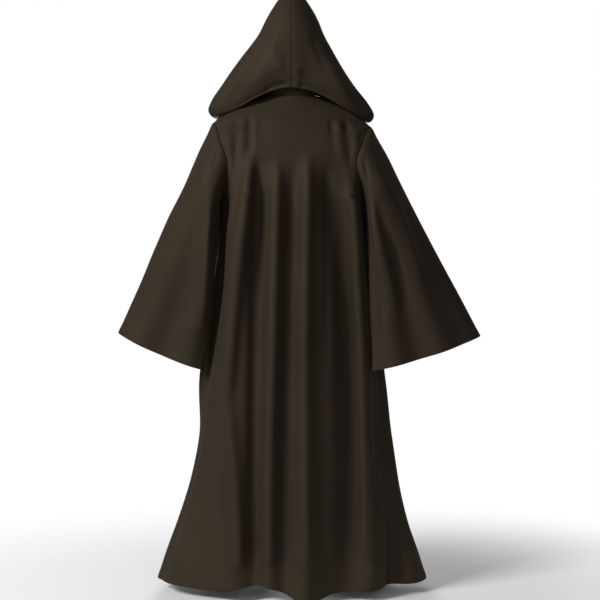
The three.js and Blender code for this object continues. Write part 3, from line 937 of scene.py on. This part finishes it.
def weave_group():
    """Crossing threads laid in the cloth's own lengths, a soft nap and slow changes of shade."""
    if "woven_cloth" in bpy.data.node_groups:
        return bpy.data.node_groups["woven_cloth"]
    tree, given, made = group(
        "woven_cloth",
        [
            ("Cloth", "NodeSocketVector", None),
            ("Place", "NodeSocketVector", None),
            ("Colour", "NodeSocketColor", (0.03, 0.02, 0.015, 1)),
            ("Threads", "NodeSocketFloat", 900.0),
        ],
        [("Colour", "NodeSocketColor"), ("Roughness", "NodeSocketFloat"), ("Height", "NodeSocketFloat")],
    )
    nodes, links = tree.nodes, tree.links

    def add(kind, **settings):
        node = nodes.new(kind)
        for key, value in settings.items():
            setattr(node, key, value)
        return node

    def waves(direction):
        wave = add("ShaderNodeTexWave", bands_direction=direction, wave_profile="SIN")
        wave.inputs["Distortion"].default_value = THREAD_WOBBLE
        wave.inputs["Detail"].default_value = 1.0
        links.new(given.outputs["Cloth"], wave.inputs["Vector"])
        links.new(scale.outputs[0], wave.inputs["Scale"])
        return wave.outputs["Fac"]

    scale = add("ShaderNodeMath", operation="MULTIPLY")
    scale.inputs[1].default_value = BAND_SCALE
    links.new(given.outputs["Threads"], scale.inputs[0])
    crossing = add("ShaderNodeMath", operation="MULTIPLY")
    links.new(waves("DIAGONAL"), crossing.inputs[0])
    links.new(waves("Y"), crossing.inputs[1])

    nap = add("ShaderNodeTexNoise")
    nap.inputs["Scale"].default_value = NAP_SCALE
    nap.inputs["Detail"].default_value = 3.0
    links.new(given.outputs["Place"], nap.inputs["Vector"])
    patches = add("ShaderNodeTexNoise")
    patches.inputs["Scale"].default_value = PATCH_SCALE
    patches.inputs["Detail"].default_value = 3.0
    links.new(given.outputs["Place"], patches.inputs["Vector"])

    height = add("ShaderNodeMath", operation="MULTIPLY_ADD")
    height.inputs[1].default_value = THREAD_HEIGHT
    links.new(crossing.outputs[0], height.inputs[0])
    links.new(nap.outputs["Fac"], height.inputs[2])
    links.new(height.outputs[0], made.inputs["Height"])

    tone = add("ShaderNodeMapRange")
    tone.inputs["To Min"].default_value = PATCH_TONE[0]
    tone.inputs["To Max"].default_value = PATCH_TONE[1]
    links.new(patches.outputs["Fac"], tone.inputs["Value"])
    fleck = add("ShaderNodeMapRange")
    fleck.inputs["From Max"].default_value = 1.0 + THREAD_HEIGHT
    fleck.inputs["To Min"].default_value = FLECK_TONE[0]
    fleck.inputs["To Max"].default_value = FLECK_TONE[1]
    links.new(height.outputs[0], fleck.inputs["Value"])
    both = add("ShaderNodeMath", operation="MULTIPLY")
    links.new(tone.outputs[0], both.inputs[0])
    links.new(fleck.outputs[0], both.inputs[1])
    shade = add("ShaderNodeVectorMath", operation="SCALE")
    links.new(given.outputs["Colour"], shade.inputs[0])
    links.new(both.outputs[0], shade.inputs["Scale"])
    links.new(shade.outputs["Vector"], made.inputs["Colour"])

    rough = add("ShaderNodeMapRange")
    rough.inputs["To Min"].default_value = ROUGHNESS[0]
    rough.inputs["To Max"].default_value = ROUGHNESS[1]
    links.new(nap.outputs["Fac"], rough.inputs["Value"])
    links.new(rough.outputs[0], made.inputs["Roughness"])
    return tree


def cloth_material(cloth):
    """Dark brown cloth with a soft nap and a faint sheen."""
    if "brown_cloth" in bpy.data.materials:
        return bpy.data.materials["brown_cloth"]
    material = bpy.data.materials.new("brown_cloth")
    material.use_nodes = True
    nodes, links = material.node_tree.nodes, material.node_tree.links
    shader = nodes["Principled BSDF"]
    shader.inputs["Specular IOR Level"].default_value = SPECULAR
    shader.inputs["Specular Tint"].default_value = SPECULAR_TINT
    shader.inputs["Sheen Weight"].default_value = SHEEN
    shader.inputs["Sheen Roughness"].default_value = SHEEN_ROUGHNESS
    shader.inputs["Sheen Tint"].default_value = SHEEN_TINT
    weave = nodes.new("ShaderNodeGroup")
    weave.node_tree = weave_group()
    weave.inputs["Colour"].default_value = (*cloth.colour, 1)
    weave.inputs["Threads"].default_value = 1 / cloth.thread
    place = nodes.new("ShaderNodeTexCoord")
    links.new(place.outputs["UV"], weave.inputs["Cloth"])
    links.new(place.outputs["Object"], weave.inputs["Place"])
    bump = nodes.new("ShaderNodeBump")
    bump.inputs["Strength"].default_value = BUMP_STRENGTH
    bump.inputs["Distance"].default_value = BUMP_HEIGHT
    links.new(weave.outputs["Colour"], shader.inputs["Base Color"])
    links.new(weave.outputs["Roughness"], shader.inputs["Roughness"])
    links.new(weave.outputs["Height"], bump.inputs["Height"])
    links.new(bump.outputs["Normal"], shader.inputs["Normal"])
    return material


def floor_material(stage):
    """A plain pale floor that fades into the surround away from the cloak."""
    material = bpy.data.materials.new("pale_floor")
    material.use_nodes = True
    nodes, links = material.node_tree.nodes, material.node_tree.links
    shader = nodes["Principled BSDF"]
    shader.inputs["Base Color"].default_value = (*stage.floor, 1)
    shader.inputs["Roughness"].default_value = FLOOR_ROUGHNESS
    place = nodes.new("ShaderNodeTexCoord")
    flat = nodes.new("ShaderNodeVectorMath")
    flat.operation = "MULTIPLY"
    flat.inputs[1].default_value = (1, 1, 0)
    away = nodes.new("ShaderNodeVectorMath")
    away.operation = "LENGTH"
    fade = nodes.new("ShaderNodeMapRange")
    fade.interpolation_type = "SMOOTHSTEP"
    fade.inputs["From Min"].default_value = FLOOR_FADE[0]
    fade.inputs["From Max"].default_value = FLOOR_FADE[1]
    fade.inputs["To Min"].default_value = 1.0
    fade.inputs["To Max"].default_value = 0.0
    links.new(place.outputs["Object"], flat.inputs[0])
    links.new(flat.outputs["Vector"], away.inputs[0])
    links.new(away.outputs["Value"], fade.inputs["Value"])
    links.new(fade.outputs["Result"], shader.inputs["Alpha"])
    return material


class CLOAK_PT_panel(bpy.types.Panel):
    """Lists the cloak's sizes and the steps that make it"""

    bl_idname = "CLOAK_PT_panel"
    bl_label = "Hooded cloak"
    bl_space_type = "VIEW_3D"
    bl_region_type = "UI"
    bl_category = "Cloak"

    def draw(self, context):
        layout = self.layout
        for settings in (context.scene.cloak_cloth, context.scene.cloak_stage):
            for name in settings.__annotations__:
                layout.prop(settings, name)
        for step in STEPS:
            layout.operator(step.bl_idname)


STEPS = (CLOAK_OT_body, CLOAK_OT_sleeves, CLOAK_OT_hood, CLOAK_OT_stage)
CLASSES = (CloakCloth, CloakStage, *STEPS, CLOAK_PT_panel)


def register():
    for cls in CLASSES:
        bpy.utils.register_class(cls)
    bpy.types.Scene.cloak_cloth = bpy.props.PointerProperty(type=CloakCloth)
    bpy.types.Scene.cloak_stage = bpy.props.PointerProperty(type=CloakStage)


def unregister():
    del bpy.types.Scene.cloak_stage
    del bpy.types.Scene.cloak_cloth
    for cls in reversed(CLASSES):
        bpy.utils.unregister_class(cls)


def main():
    register()
    bpy.ops.cloak.body()
    bpy.ops.cloak.sleeves()
    bpy.ops.cloak.hood()
    bpy.ops.cloak.stage()


if __name__ == "__main__":
    main()
